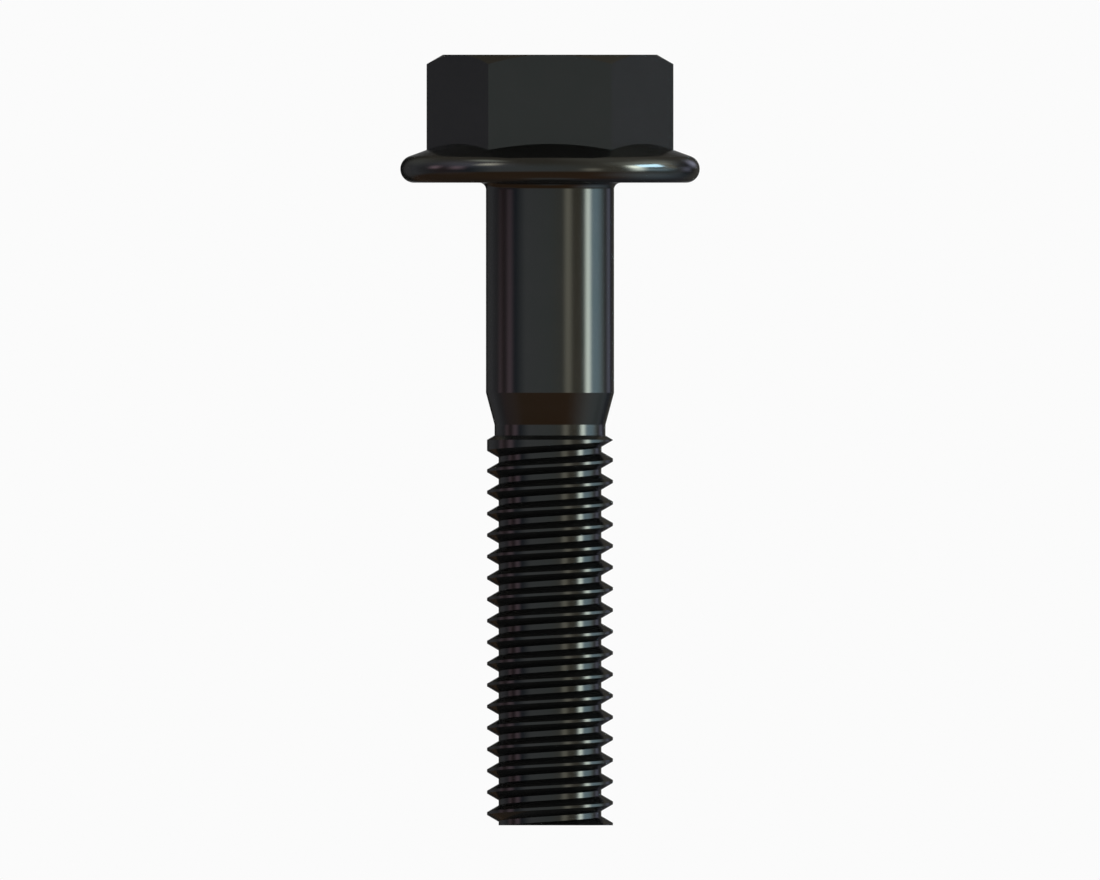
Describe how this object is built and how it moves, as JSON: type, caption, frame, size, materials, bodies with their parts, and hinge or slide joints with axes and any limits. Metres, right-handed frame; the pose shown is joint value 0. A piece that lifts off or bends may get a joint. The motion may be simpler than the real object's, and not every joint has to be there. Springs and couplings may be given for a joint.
{
  "type": "hexagon flange bolt",
  "caption": "Hexagon flange bolt with a chamfered head, a conical flange with a round rim, a plain shank, a reduced neck and a rolled right-hand thread.",
  "frame": {"origin": "centre of the flange's flat bearing face, on the bolt's axis; the bolt stands on its head, and the top of the head is 5.98 mm below the origin", "axes": "+Z along the bolt's axis, from the head towards the tip; X through two opposite corners of the hexagon, Y across two of its flats"},
  "size_m": [0.014, 0.014, 0.036],
  "materials": {
    "black_steel": "satin"
  },
  "bodies": {
    "root": {"flange_bolt": "black_steel"}
  },
  "joints": []
}
